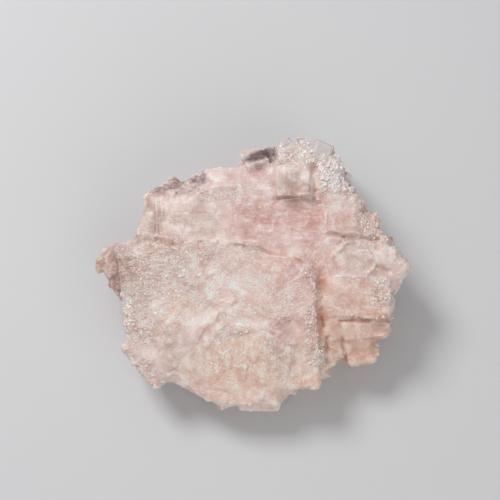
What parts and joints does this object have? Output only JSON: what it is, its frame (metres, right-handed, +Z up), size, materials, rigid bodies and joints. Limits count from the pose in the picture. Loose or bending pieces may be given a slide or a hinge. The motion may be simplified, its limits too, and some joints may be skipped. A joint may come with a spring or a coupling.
{
  "type": "halite crystal cluster",
  "caption": "Hand-sized cluster of intergrown pink halite cubes, broken off its bed and cut off flat underneath so that it rests with its growth face up.",
  "frame": {"origin": "on the flat resting face, under the middle of the bounding box", "axes": "+Z up out of the resting face; the growth face looks up and towards -Y; +X to the right along the cluster's length"},
  "size_m": [0.0966, 0.0898, 0.0397],
  "materials": {
    "halite": "translucent pale pink salt, sugary on the broken and regrown faces and smooth to waxy on the cube faces"
  },
  "bodies": {
    "root": {"halite_cluster": "halite"}
  },
  "joints": []
}
